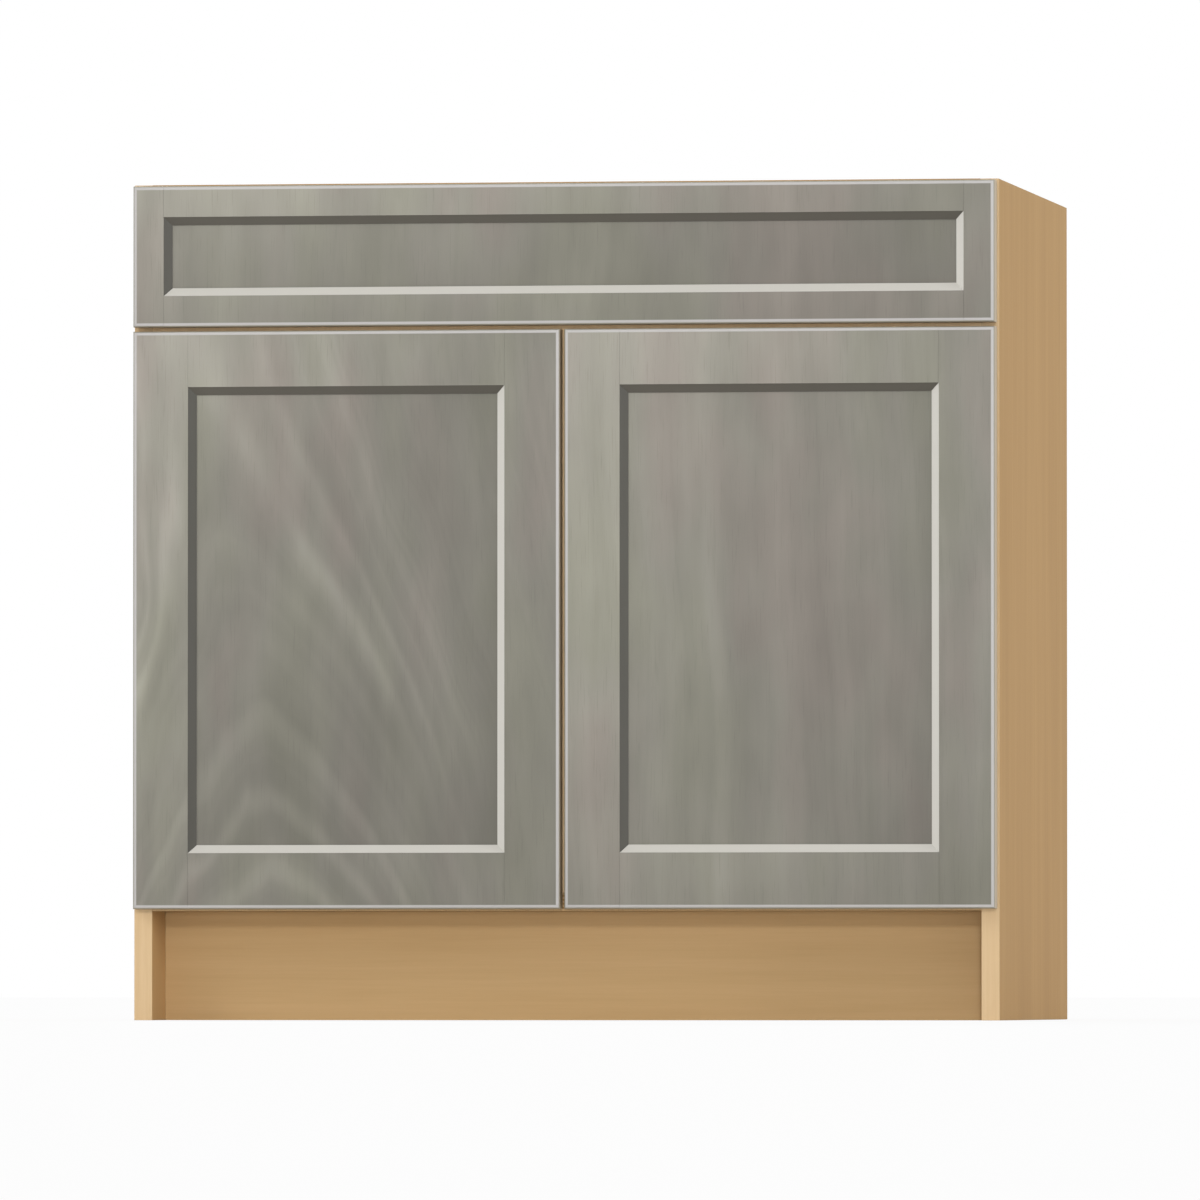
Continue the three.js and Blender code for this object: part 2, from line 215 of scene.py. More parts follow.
    def finish(self, colour, roughness, **constants):
        self.put(colour, self.shader.inputs["Base Color"])
        self.put(roughness, self.shader.inputs["Roughness"])
        for key, value in constants.items():
            self.shader.inputs[key.replace("_", " ")].default_value = value
        return self.material


# ---- Stained fronts ----

# Where a window of two numbers is given, an effect is nil at the first, full at the second, and comes in
# gently between them. Lengths are in metres.

# Growth rings. Above a height of its own, this much of any further height doesn't count for a pattern, so
# that its rings run nearly straight up there.
SLOWED = 0.88

# Straight rings: their number to a metre across the board and to a metre of height.
RINGS_ACROSS = 6.0
RINGS_UP = 0.28

# Arched rings, the cathedral pattern. They are numbered from the inside out: the strongest pale arch is
# MAIN_ARCH, and the other pale arches lie at every RING_STEP from it. On the pattern's axis they crowd
# together towards a point RING_ROOT below the floor. Their tips are round, and their flanks fall ever more
# steeply to the sides: FLANK_CURVE is how fast the steepness grows, FLANK_FALL how much there is of it.
MAIN_ARCH = -0.054
RING_STEP = 0.13
RING_ROOT = 0.333
TIP_ROUND = 0.04
FLANK_CURVE = 8.0
FLANK_FALL = 0.275

# The axis leans to the left above LEAN_FROM, by LEAN to a metre, and high on the board the left flank is
# steeper.
LEAN_FROM = 0.30
LEAN_BLEND = 0.15
LEAN = 0.22
STEEPER = 1.35
LEFT_OF_AXIS = (0.0, -0.05)
HIGH_ON_BOARD = (0.30, 0.45)

# The pale arches: how sharp they are, the level between pale and dark, and how far they move the tone.
ARCH_SHARPNESS = 1.7
ARCH_LEVEL = 0.42
ARCH_TONE = 0.18

# How much of that tone shows: on all arches up to those of ARCHES_END, and what comes to it on the innermost
# ones and on the rings within NEXT_REACH of NEXT_ARCHES.
SHOWN = 0.30
ARCHES_END = (0.6, 0.2)
SHOWN_IN_CORE = 0.80
CORE = (-0.37, -0.43)
SHOWN_NEXT = 0.40
NEXT_ARCHES = 0.08
NEXT_REACH = 0.20

# Further tones: of the main arch, from patch to patch, of its left arm, and of the wood inside it.
MAIN_REACH = 0.085
MAIN_TONES = (0.07, 0.25)
PATCHES_OF_MAIN = (0.35, 0.65)
ARM_REACH = 0.12
ARM_SIDE = (-0.02, -0.06)
ARM_TONE = 0.10
INSIDE_MAIN = (-0.08, -0.17)
INSIDE_TONE = -0.06

# The outer rings are fainter, and fainter still where they reach the foot of the board: the part that
# stays of their streaks and, at the foot, of their arches.
OUTER_RINGS = (0.35, 1.0)
OUTER_STREAKS = 0.25
FOOT_RINGS = (-0.32, -0.16)
FOOT_HEIGHTS = (0.38, 0.20)
FOOT_STREAKS = 0.35
FOOT_ARCHES = 0.25

# How far each mark moves the tone, which runs from 0, the darkest, to 1, the palest. The first three are
# for streaks at full strength.
BROAD_LINES = 0.24
NARROW_LINES = 0.10
STREAKS = 0.14
BLOTCHES = 0.22
PATCHES = 0.12
PANEL_TONE = -0.19

# Each front is palest in its upper left corner: the fall of the tone from left to right, its rise from
# bottom to top, and how much the two work together.
FALL_ACROSS = -0.36
RISE_UPWARD = 0.22
CORNER_TWIST = -0.25

# Half the width of the blend where one place on a front ends and the next begins.
SEAM = 0.0001

# Windows for the way a face is turned, in parts of its normal.
TO_THE_FRONT = (0.25, 0.4)
SLANTED = (0.15, 0.4)
TO_THE_SIDE = (0.2, 0.5)
NOT_TO_THE_BACK = (0.6, -0.1)

# Windows at the outer edge: how far inside the rounded edge its painted highlight comes in, and how far from
# the very edge the dark line does.
EDGE_HIGHLIGHT_REACH = (0.0012, 0.0004)
LAST_LINE = (0.0015, 0.0010)

# How fully each of these tones covers the stain (painted shade and painted highlight on the bevels, painted
# highlight on the rounded edge, and the dark line, whose cover also sets the paler painted light on the
# edges' own faces), and the window in their noise that makes the pores.
PAINTED_SHADE_COVER = 0.92
PAINTED_HIGHLIGHT_COVER = 0.95
EDGE_HIGHLIGHT_COVER = 0.85
LINE_COVER = 0.75
PORES = (0.56, 0.74)
PORE_COVER = 0.16

STAIN = [
    (0.0, lin(112, 109, 100)), (0.35, lin(133, 130, 120)),
    (0.6, lin(148, 145, 134)), (1.0, lin(172, 168, 157)),
]
# Faint tints of red and of green that drift over the stain.
TINTS = [(0.34, (1.036, 0.978, 1.0, 1)), (0.5, (1, 1, 1, 1)), (0.66, (0.982, 1.0, 0.955, 1))]


def ring_height(t, waver, size, slow_from, blend):
    """Height as the rings follow it, wavering by size."""
    slowed = t.times(t.past(t.z, slow_from, blend), -SLOWED)
    return t.add(t.z, slowed, t.sway(waver, -size))


def straight_rings(t, start, wander, waver):
    """Rings that stand nearly upright, numbered from the line x = start: the ring at each point, how
    clearly its streaks show, and the tone of the arches that stand out, of which there are none."""
    side = t.add(t.x, -start, t.sway(wander, 0.045), t.sway(waver, 0.006))
    height = ring_height(t, waver, 0.012, slow_from=0.48, blend=0.22)
    rings = t.add(t.times(side, RINGS_ACROSS), t.times(height, RINGS_UP))
    return rings, 1.0, 0.0


def arched_rings(t, tip_x, wander, waver):
    """Rings that arch over x = tip_x low on the board, lean to the left further up, and run down both
    sides, each ring steeper than the one inside it. The results are those of straight_rings."""
    lean = t.times(t.past(t.z, LEAN_FROM, LEAN_BLEND), LEAN)
    side = t.add(t.x, -tip_x, lean, t.sway(wander, 0.030), t.sway(waver, 0.014))
    upper_left = t.times(t.step(side, *LEFT_OF_AXIS), t.step(t.z, *HIGH_ON_BOARD))
    side = t.times(side, t.spread(upper_left, 1.0, STEEPER))
    away = t.add(t.math("SQRT", t.add(t.times(side, side), TIP_ROUND ** 2)), -TIP_ROUND)
    height = ring_height(t, waver, 0.026, slow_from=0.60, blend=0.15)
    outward = t.add(t.times(t.math("EXPONENT", t.times(away, FLANK_CURVE)), FLANK_FALL), -FLANK_FALL)
    rings = t.add(t.math("LOGARITHM", t.add(height, RING_ROOT), math.e), outward)

    foot = t.times(t.step(rings, *FOOT_RINGS), t.step(t.z, *FOOT_HEIGHTS))
    fainter = t.spread(t.step(rings, *OUTER_RINGS), 1.0, OUTER_STREAKS)
    clear = t.times(fainter, t.spread(foot, 1.0, FOOT_STREAKS))
    arches = t.add(pale_arches(t, rings), main_arch(t, rings), left_arm(t, rings, side))
    arches = t.times(arches, t.spread(foot, 1.0, FOOT_ARCHES))
    return rings, clear, t.add(arches, t.times(t.step(rings, *INSIDE_MAIN), INSIDE_TONE))


def pale_arches(t, rings):
    """The tone of all the arches, from a wave over the ring numbers."""
    wave = t.math("COSINE", t.times(t.add(rings, -MAIN_ARCH), 2 * math.pi / RING_STEP))
    wave = t.spread(t.times(t.add(wave, 1.0), 0.5), 0.0, 1.0)
    wave = t.math("POWER", wave, ARCH_SHARPNESS)
    core = t.times(t.step(rings, *CORE), SHOWN_IN_CORE)
    next_ones = t.times(t.band(rings, NEXT_ARCHES, NEXT_REACH), SHOWN_NEXT)
    shown = t.times(t.add(SHOWN, core, next_ones), t.step(rings, *ARCHES_END))
    return t.times(t.times(t.add(wave, -ARCH_LEVEL), ARCH_TONE), shown)


def main_arch(t, rings):
    """What the strongest arch has on top of that, in patches."""
    patchy = t.step(t.noise(13.0, 6.0, (3, 0, 1), detail=1.0), *PATCHES_OF_MAIN)
    return t.times(t.band(rings, MAIN_ARCH, MAIN_REACH), t.spread(patchy, *MAIN_TONES))


def left_arm(t, rings, side):
    """And what it has on its left arm."""
    arm = t.times(t.band(rings, MAIN_ARCH, ARM_REACH), t.step(side, *ARM_SIDE))
    return t.times(arm, ARM_TONE)


def outside_panel(t, low, high, member):
    """How far a point of a front is outside its panel's opening."""
    out_x = t.add(t.math("ABSOLUTE", t.add(t.x, -(low.x + high.x) / 2)), member - (high.x - low.x) / 2)
    out_z = t.add(t.math("ABSOLUTE", t.add(t.z, -(low.z + high.z) / 2)), member - (high.z - low.z) / 2)
    return t.math("MAXIMUM", out_x, out_z)


def corner_fall(t, low, high):
    """The tone's fall from the upper left corner of a front."""
    across = t.times(t.add(t.x, -(low.x + high.x) / 2), 1 / (high.x - low.x))
    upward = t.times(t.add(t.z, -(low.z + high.z) / 2), 1 / (high.z - low.z))
    twist = t.times(t.times(across, upward), CORNER_TWIST)
    return t.add(t.times(across, FALL_ACROSS), t.times(upward, RISE_UPWARD), twist)


def paint_bevel_shade_and_highlight(t, colour, out, facing):
    """Paints shade on the upper and left bevels and a highlight on the lower and right ones, as light from
    the upper left would fall.
    """
    on_bevel = t.times(t.times(t.step(out, -SEAM, SEAM), t.less(out, BEVEL - SEAM)), facing)
    turned = t.math("SUBTRACT", t.nx, t.nz)
    painted_shade_on_bevel = t.times(on_bevel, t.step(turned, *SLANTED))
    painted_highlight_on_bevel = t.times(on_bevel, t.step(t.times(turned, -1.0), *SLANTED))
    sideways = t.step(t.math("ABSOLUTE", t.nx), *TO_THE_SIDE)
    # The painted shade is deepest on the left bevel, and the painted highlight palest on the right one.
    dark = t.mix(sideways, lin(88, 84, 76), lin(59, 57, 50))
    light = t.mix(sideways, lin(209, 206, 198), lin(224, 221, 213))
    return t.mix(t.times(painted_highlight_on_bevel, PAINTED_HIGHLIGHT_COVER), t.mix(t.times(painted_shade_on_bevel, PAINTED_SHADE_COVER), colour, dark), light)


def paint_edge_light_and_line(t, colour, out, facing, member):
    """The rounded outer edge gets a painted highlight, with a dark line at its very edge, and the edge's own
    faces get a paler tone, painted light against the shade in the gaps between the fronts."""
    start, full = (member - EDGE - inside for inside in EDGE_HIGHLIGHT_REACH)
    painted_edge_highlight = t.times(t.step(out, start, full), t.step(t.ny, *NOT_TO_THE_BACK))
    colour = t.mix(t.times(painted_edge_highlight, EDGE_HIGHLIGHT_COVER), colour, lin(198, 195, 193))
    start, full = (member - width for width in LAST_LINE)
    last = t.times(t.step(out, start, full), LINE_COVER)
    # On the edges' own faces this paler tone is painted light against the shade in the gaps; on the front it
    # is the dark line.
    return t.mix(last, colour, t.mix(facing, lin(176, 155, 120), lin(138, 134, 114)))


def stained_wood(name, low, high, member, figure):
    """Grey-brown stained wood on one front, whose grain runs upright over all its pieces.
    figure is the kind of rings, the x that they are laid out from, how strong the streaks along them
    are, and the tone of the whole."""
    t = Tree(name)
    lay_rings, start, strength, ground = figure
    wander = t.noise(5.0, 1.9, (low.x * 7, 0, 3))
    waver = t.noise(22.0, 5.0, (2, 0, low.x * 5))
    rings, clear, arches = lay_rings(t, start, wander, waver)
    broad = t.line_noise(rings, 4.75, detail=1.0)
    narrow = t.line_noise(rings, 18.75, detail=2.0)
    lines = t.add(t.sway(broad, BROAD_LINES * strength), t.sway(narrow, NARROW_LINES * strength))

    streaks = t.noise(58.0, 3.4, (0, 1, 0), detail=3.0, rough=0.6)
    blotches = t.noise(20.0, 7.5, (5, 2, low.z * 3), rough=0.55)
    patches = t.noise(6.5, 3.2, (low.z, 4, low.x), detail=1.0)
    pores = t.noise(900.0, 26.0, rough=0.6)

    out = outside_panel(t, low, high, member)
    on_panel = t.step(out, 2 * SEAM, -2 * SEAM)
    tone = t.add(
        ground, corner_fall(t, low, high), arches,
        t.times(on_panel, PANEL_TONE),
        t.times(lines, clear),
        t.sway(streaks, STREAKS * strength),
        t.sway(blotches, BLOTCHES),
        t.sway(patches, PATCHES),
    )
    hue = t.noise(12.0, 4.0, (9, 0, low.x * 3))
    colour = t.tinted(t.ramp(tone, STAIN), t.ramp(hue, TINTS))
    colour = t.mix(t.times(t.step(pores, *PORES), PORE_COVER), colour, lin(84, 80, 70))

    facing = t.step(t.times(t.ny, -1.0), *TO_THE_FRONT)
    # Painted shade and painted highlights on the bevels and the rounded edge, as light from the upper left
    # would fall, and paler painted light on the edges' own faces.
    colour = paint_bevel_shade_and_highlight(t, colour, out, facing)
    colour = paint_edge_light_and_line(t, colour, out, facing, member)

    t.bump(t.add(t.times(pores, 0.6), t.times(narrow, 0.25)), 0.00012, 0.5)
    return t.finish(colour, t.spread(streaks, 0.42, 0.60), Specular_IOR_Level=0.35)


# ---- Other materials ----

# Plywood: its pairs of one pale and one dark layer, the part of a pair where the dark one comes in and
# goes out, and the two glue lines of a pair with their reach.
LAYER_PAIRS = 4.5
DARK_IN = (0.46, 0.52)
DARK_OUT = (1.0, 0.94)
GLUE_LINES = (0.49, 0.97)
GLUE_REACH = (0.05, 0.02)

PLY_FACE = [
    (0.0, lin(165, 131, 86)), (0.4, lin(177, 143, 98)),
    (0.6, lin(183, 149, 104)), (1.0, lin(195, 162, 118)),
]
MAPLE = [(0.0, lin(205, 171, 126)), (0.5, lin(217, 186, 142)), (1.0, lin(227, 199, 158))]

# Colour factors: none; painted light that lifts the toe kick board against the shade under the cabinet;
# painted light that lifts the rails behind the shaded gaps between the fronts; and painted shade on the edge
# strips' own sides.
PLAIN = (1.0, 1.0, 1.0, 1.0)
TOE_KICK_SHADE_LIFT = (1.28, 1.38, 1.52, 1.0)
RAIL_SHADE_LIFT = (1.15, 1.15, 1.15, 1.0)
STRIP_SIDE_PAINTED_SHADE = (0.78, 0.73, 0.65, 1.0)


def ply_layers(t, depth):
    """The colour of a cut edge at depth, in board thicknesses."""
    layers = t.math("FRACT", t.times(depth, LAYER_PAIRS))
    dark = t.times(t.step(layers, *DARK_IN), t.step(layers, *DARK_OUT))
    first, second = (
        t.step(t.math("ABSOLUTE", t.add(layers, -line)), *GLUE_REACH) for line in GLUE_LINES
    )
    speck = t.even_noise(520.0, rough=0.7)
    layer = t.mix(dark, lin(206, 176, 134), lin(168, 130, 88))
    layer = t.mix(t.times(t.math("MAXIMUM", first, second), 0.45), layer, lin(112, 82, 54))
    return t.mix(t.times(t.step(speck, 0.45, 0.7), 0.3), layer, lin(140, 104, 68))


def plywood(name, across, face, thickness, along, tint_or_painted_light):
    """Clear-coated birch plywood. across is the axis through the board and face the place of one face
    on it; along is the way the face grain runs. The layers show on its edges."""
    t = Tree(name)
    place = {"x": t.x, "y": t.y, "z": t.z}[across]
    lean = {"x": t.nx, "y": t.ny, "z": t.nz}[across]

    def grain(with_it, over_it):
        return tuple(with_it if axis == along else over_it for axis in "xyz")

    streaks = t.noise_along(grain(2.4, 70.0), (face * 9, 1, 2), detail=4.0, rough=0.6, distortion=0.3)
    fibres = t.noise_along(grain(14.0, 620.0), rough=0.55)
    drift = t.noise_along(grain(1.1, 9.0), (3, face * 5, 0), distortion=0.6)
    tone = t.add(0.5, t.sway(streaks, 0.22), t.sway(fibres, 0.10), t.sway(drift, 0.34))
    cut_edge = t.less(t.math("ABSOLUTE", lean), 0.5)
    layers = ply_layers(t, t.times(t.add(place, -face), 1 / thickness))
    # The colour factor lifts the toe kick board: painted light against the shade under the cabinet.
    colour = t.tinted(t.mix(cut_edge, t.ramp(tone, PLY_FACE), layers), tint_or_painted_light)
    t.bump(t.add(t.times(fibres, 0.5), t.times(streaks, 0.3)), 0.0001, 0.45)
    return t.finish(colour, t.spread(drift, 0.58, 0.70), Specular_IOR_Level=0.05)


def maple(name, tint_or_painted_light, side_painted_shade):
    """Solid maple with upright grain. The first factor multiplies all its colour, which lifts the rails as
    painted light; the second multiplies only its faces towards the left and right, which darkens the edge
    strips' sides as painted shade.
    """
    t = Tree(name)
    grain = t.noise(150.0, 4.0, detail=3.0, rough=0.6)
    fleck = t.noise(700.0, 40.0)
    tone = t.add(0.5, t.sway(grain, 0.4), t.sway(fleck, 0.15))
    colour = t.tinted(t.ramp(tone, MAPLE), tint_or_painted_light)
    sideways = t.step(t.math("ABSOLUTE", t.nx), 0.4, 0.6)
    # Faces towards the left and right take the side factor: painted shade on the edge strips, none on the
    # rails.
    colour = t.mix(sideways, colour, t.tinted(colour, side_painted_shade))
    t.bump(grain, 0.00008, 0.4)
    return t.finish(colour, t.spread(fleck, 0.42, 0.55), Specular_IOR_Level=0.35)


def plated(name, tone, roughness, brushed):
    """Plated steel: brushed along z, or stamped and slightly mottled."""
    t = Tree(name)
    across, upward = (2200.0, 60.0) if brushed else (420.0, 420.0)
    marks = t.noise(across, upward, detail=3.0, rough=0.6)
    haze = t.even_noise(90.0, (1, 2, 3))
    light = tuple(min(1.0, part * 1.12) for part in tone[:3]) + (1.0,)
    dark = tuple(part * 0.84 for part in tone[:3]) + (1.0,)
    colour = t.mix(t.step(haze, 0.3, 0.7), dark, light)
    t.bump(marks, 0.00004, 0.5)
    return t.finish(colour, t.add(roughness, t.sway(marks, 0.06), t.sway(haze, 0.05)), Metallic=0.9)


def soft_pad(name):
    """Clear, slightly milky rubber."""
    t = Tree(name)
    cloud = t.even_noise(260.0)
    colour = t.mix(cloud, lin(214, 219, 216), lin(232, 235, 232))
    return t.finish(colour, t.spread(cloud, 0.3, 0.42), Transmission_Weight=0.35, IOR=1.45,
                    Subsurface_Weight=0.2, Subsurface_Radius=(0.002, 0.002, 0.002))


# ---- The materials on the solids ----

# Each front's kind of rings, the x that they are laid out from, the strength of their streaks, and the
# tone of the whole.
FIGURES = {
    "door_left": (arched_rings, -0.305, 0.7, 0.415),
    "door_right": (straight_rings, -0.30, 0.45, 0.49),
    "false_front": (straight_rings, -0.80, 0.35, 0.43),
}
FRONT_PIECES = ("stile_left", "stile_right", "rail_bottom", "rail_top", "panel")

# Each board's axis through it, and the way its face grain runs.
BOARDS = {
    "side_left": ("x", "z"), "side_right": ("x", "z"),
    "bottom_panel": ("z", "x"), "toe_kick": ("y", "x"),
    "back_panel": ("y", "z"), "back_rail_top": ("y", "x"), "back_rail_bottom": ("y", "x"),
    "front_stretcher": ("y", "x"),
    "corner_block_front_left": ("z", "x"), "corner_block_front_right": ("z", "x"),
    "corner_block_rear_left": ("z", "x"), "corner_block_rear_right": ("z", "x"),
}
STRIPS = ("edge_band_left", "edge_band_right")
GAP_RAILS = ("divider_rail", "centre_stile")


def front_box(front):
    """The lower left and upper right corners of a front, which its two stiles reach."""
    low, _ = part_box(f"{front}_stile_left")
    _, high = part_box(f"{front}_stile_right")
    return low, high


def dress(name, material):
    slots = nodes[name].data.materials
    for i in range(len(slots)):
        slots[i] = material


def dress_fronts():
    for front, member in MEMBER.items():
        wood = stained_wood(f"stain_{front}", *front_box(front), member, FIGURES[front])
        for piece in FRONT_PIECES:
            dress(f"{front}_{piece}", wood)


def dress_case():
    for name, (across, along) in BOARDS.items():
        low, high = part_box(name)
        axis = "xyz".index(across)
        # The toe kick board's colour is lifted: painted light against the shade under the cabinet.
        tint_or_painted_light = TOE_KICK_SHADE_LIFT if name == "toe_kick" else PLAIN
        dress(name, plywood(f"ply_{name}", across, low[axis], high[axis] - low[axis], along, tint_or_painted_light))
    # The edge strips' faces towards the left and right are darkened: painted shade.
    strip_maple = maple("maple_strip", PLAIN, STRIP_SIDE_PAINTED_SHADE)
    # The rails behind the gaps get a paler maple: painted light against the shade in the gaps between the
    # fronts.
    rail_maple_painted_light = maple("maple_rail_painted_light", RAIL_SHADE_LIFT, PLAIN)
    for name in STRIPS:
        dress(name, strip_maple)
    for name in GAP_RAILS:
        dress(name, rail_maple_painted_light)


def dress_hardware():
    nickel = plated("nickel_plate", lin(196, 196, 193), 0.30, brushed=True)
    pad = soft_pad("clear_pad")
    for side, _ in SIDES:
        for level in LEVELS:
            dress(f"hinge_{side}_{level}_cup", nickel)
            dress(f"hinge_{side}_{level}_arm", nickel)
            dress(f"hinge_{side}_{level}_pin", zinc_plate)
            dress(f"hinge_{side}_{level}_plate", zinc_plate)
            dress(f"bumper_{side}_{level}", pad)
            dress(f"screw_{side}_{level}", zinc_plate)


zinc_plate = plated("zinc_plate", lin(186, 188, 190), 0.36, brushed=False)
dress_fronts()
dress_case()
dress_hardware()


# ---- Softened edges on the solids, by modifiers alone ----

WELD = 0.000002                     # corners nearer to each other than this are joined
SMOOTH_BELOW = math.radians(30)     # the turn from face to face that still looks smooth
BEVEL_ABOVE = math.radians(40)      # and the turn from which an edge is rounded


def smoothing_group():
    """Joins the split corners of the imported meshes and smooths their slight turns."""
    group = bpy.data.node_groups.new("smooth_turns", "GeometryNodeTree")
    group.interface.new_socket("Geometry", in_out="INPUT", socket_type="NodeSocketGeometry")
    group.interface.new_socket("Geometry", in_out="OUTPUT", socket_type="NodeSocketGeometry")
    make = group.nodes.new
    start, end = make("NodeGroupInput"), make("NodeGroupOutput")
    merge = make("GeometryNodeMergeByDistance")
    merge.inputs["Distance"].default_value = WELD
    drop = make("GeometryNodeRemoveAttribute")
    drop.inputs["Name"].default_value = "custom_normal"
    faces, edges = make("GeometryNodeSetShadeSmooth"), make("GeometryNodeSetShadeSmooth")
    edges.domain = "EDGE"
    angle = make("GeometryNodeInputMeshEdgeAngle")
    under = make("FunctionNodeCompare")
    under.operation = "LESS_THAN"
    under.inputs[1].default_value = SMOOTH_BELOW
    link = group.links.new
    link(start.outputs[0], merge.inputs[0])
    link(merge.outputs[0], drop.inputs[0])
    link(drop.outputs[0], faces.inputs[0])
    link(faces.outputs[0], edges.inputs[0])
    link(angle.outputs[0], under.inputs[0])
    link(under.outputs[0], edges.inputs["Shade Smooth"])
    link(edges.outputs[0], end.inputs[0])
    return group


smooth_turns = smoothing_group()


# How far edges are rounded, in metres: of boards, strips and panels, and of the hardware by kind. The
# fronts' stiles and rails are rounded in the solids, and cups, pins and screws stay as they are.
BOARD_EDGE = 0.0006
STRIP_EDGE = 0.0003
PANEL_EDGE = 0.0004
HARDWARE_EDGES = {"arm": 0.0002, "plate": 0.0005, "bumper": 0.0004}


def edge_width(name):
    if name in BOARDS or name in GAP_RAILS:
        return BOARD_EDGE
    if name in STRIPS:
        return STRIP_EDGE
    if name.endswith("_panel"):
        return PANEL_EDGE
    words = name.split("_")
    return next((width for kind, width in HARDWARE_EDGES.items() if kind in words), 0.0)


def soften(obj, width):
    modifier = obj.modifiers.new("smooth turns", "NODES")
    modifier.node_group = smooth_turns
    if width:
        bevel = obj.modifiers.new("soft edges", "BEVEL")
        bevel.width = width
        bevel.segments = 2
        bevel.limit_method = "ANGLE"
        bevel.angle_limit = BEVEL_ABOVE
        bevel.harden_normals = True


for name, obj in nodes.items():
    soften(obj, edge_width(name))


# ---- Screws ----

ROUND = 32                          # faces round a head
SHARP_ABOVE = math.radians(35)      # the turn from face to face that looks sharp
RECESS_REACH = 0.52                 # how far the recess reaches, in parts of the head's radius
RECESS_DEPTH = 0.62                 # and how deep it is, in parts of its height
BAR_WIDTH = 0.21                    # half the width of its two bars, in parts of its reach
BAR_FOOT = 0.45                     # their width and reach at the bottom, in parts of those at the top


def lathe_mesh(name, profile):
    """A closed turned mesh about +Z from (radius, height) points that start and end on the axis."""
    mesh = bpy.data.meshes.new(name)
    bm = bmesh.new()
    rings = []
    for radius, height in profile:
        if radius == 0:
            rings.append([bm.verts.new((0, 0, height))])
            continue
        rings.append([
            bm.verts.new((radius * math.cos(a), radius * math.sin(a), height))
            for a in (2 * math.pi * i / ROUND for i in range(ROUND))
        ])
    for lower, upper in zip(rings, rings[1:]):
        for i in range(ROUND):
            j = (i + 1) % ROUND
            corners = [lower[i % len(lower)], lower[j % len(lower)]]
            corners += [upper[j % len(upper)], upper[i % len(upper)]]
            bm.faces.new(list(dict.fromkeys(corners)))
    bmesh.ops.recalc_face_normals(bm, faces=bm.faces[:])
    bm.to_mesh(mesh)
    bm.free()
    return mesh


def cross_cutter(reach, depth):
    """A cross that cuts the driver's recess: two crossing bars that taper downwards."""
    mesh = bpy.data.meshes.new("cross")
    bm = bmesh.new()
    for turn in (0, math.pi / 2):
        for vert in bmesh.ops.create_cube(bm, size=1.0)["verts"]:
            half = reach * (BAR_FOOT if vert.co.z < 0 else 1.0)
            vert.co *= 2
            vert.co = Vector((vert.co.x * half, vert.co.y * half * BAR_WIDTH, vert.co.z * depth))
            vert.co.rotate(Matrix.Rotation(turn, 3, "Z"))
    bm.to_mesh(mesh)
    bm.free()
    return mesh


def screw_head(name, radius, tall):
    """A low pan head with a cross recess; its underside is at z = 0."""
    profile = [
        (0, 0), (radius * 0.96, 0), (radius, tall * 0.12), (radius, tall * 0.42),
        (radius * 0.93, tall * 0.66), (radius * 0.76, tall * 0.86), (radius * 0.5, tall * 0.97), (0, tall),
    ]
    recess = cross_cutter(radius * RECESS_REACH, tall * RECESS_DEPTH)
    head = bpy.data.objects.new(name, lathe_mesh(name, profile))
    cutter = bpy.data.objects.new(name + "_cutter", recess)
    cutter.location.z = tall
    for obj in (head, cutter):
        bpy.context.scene.collection.objects.link(obj)
    cut = head.modifiers.new("recess", "BOOLEAN")
    cut.object = cutter
    cut.solver = "EXACT"
    cut.use_self = True
    bpy.context.view_layer.update()
    result = bpy.data.meshes.new_from_object(head.evaluated_get(bpy.context.evaluated_depsgraph_get()))
    result.name = name
    result.materials.clear()
    result.shade_smooth()
    result.set_sharp_from_angle(angle=SHARP_ABOVE)
    for obj in (head, cutter):
        bpy.data.objects.remove(obj)
    return result


def place_screw(name, head, point, facing, body, turn):
    """A screw with its head's underside at point. facing is the way that its head looks, and turn is
    how far its cross is turned, in radians."""
    obj = bpy.data.objects.new(name, head.copy())
    obj.data.materials.append(zinc_plate)
    bpy.context.scene.collection.objects.link(obj)
    spin = Matrix.Rotation(turn, 4, "Z")
    aim = Vector(facing).to_track_quat("Z", "Y").to_matrix().to_4x4()
    obj.matrix_world = Matrix.Translation(point) @ aim @ spin
    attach(obj, body)


# The hinges' screws, in metres: how far a head is pressed into what it holds, how far inward and above or
# below the cup's middle its two screws are, how far above or below the plate's middle its two are and how
# thick its base is, and how far in front of the arm's rear end its two are.
GRIP = 0.0001
CUP_SCREW_INWARD = 0.0095
CUP_SCREW_UP = 0.0215
PLATE_SCREW_UP = 0.0175
PLATE_BASE = 0.003
ARM_SCREWS = (("a", 0.009), ("b", 0.026))
ENDS = (("a", -1), ("b", 1))

small_head = screw_head("small_head", 0.0034, 0.0019)
large_head = screw_head("large_head", 0.0042, 0.0023)


def add_cup_screws(hinge, side, hand):
    low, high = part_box(f"{hinge}_cup")
    middle = (low + high) / 2
    for end, way in ENDS:
        point = Vector((middle.x - hand * CUP_SCREW_INWARD, high.y - GRIP, middle.z + way * CUP_SCREW_UP))
        turn = 0.4 + way * 0.3 + hand * 0.5
        place_screw(f"{hinge}_cup_screw_{end}", small_head, point, (0, 1, 0), f"{side}_door", turn)


def add_plate_screws(hinge, hand):
    low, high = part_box(f"{hinge}_plate")
    middle = (low + high) / 2
    wall = low.x if hand < 0 else high.x
    for end, way in ENDS:
        point = Vector((wall - hand * (PLATE_BASE - GRIP), middle.y, middle.z + way * PLATE_SCREW_UP))
        turn = 0.7 + way * 0.4
        place_screw(f"{hinge}_plate_screw_{end}", large_head, point, (-hand, 0, 0), "cabinet", turn)


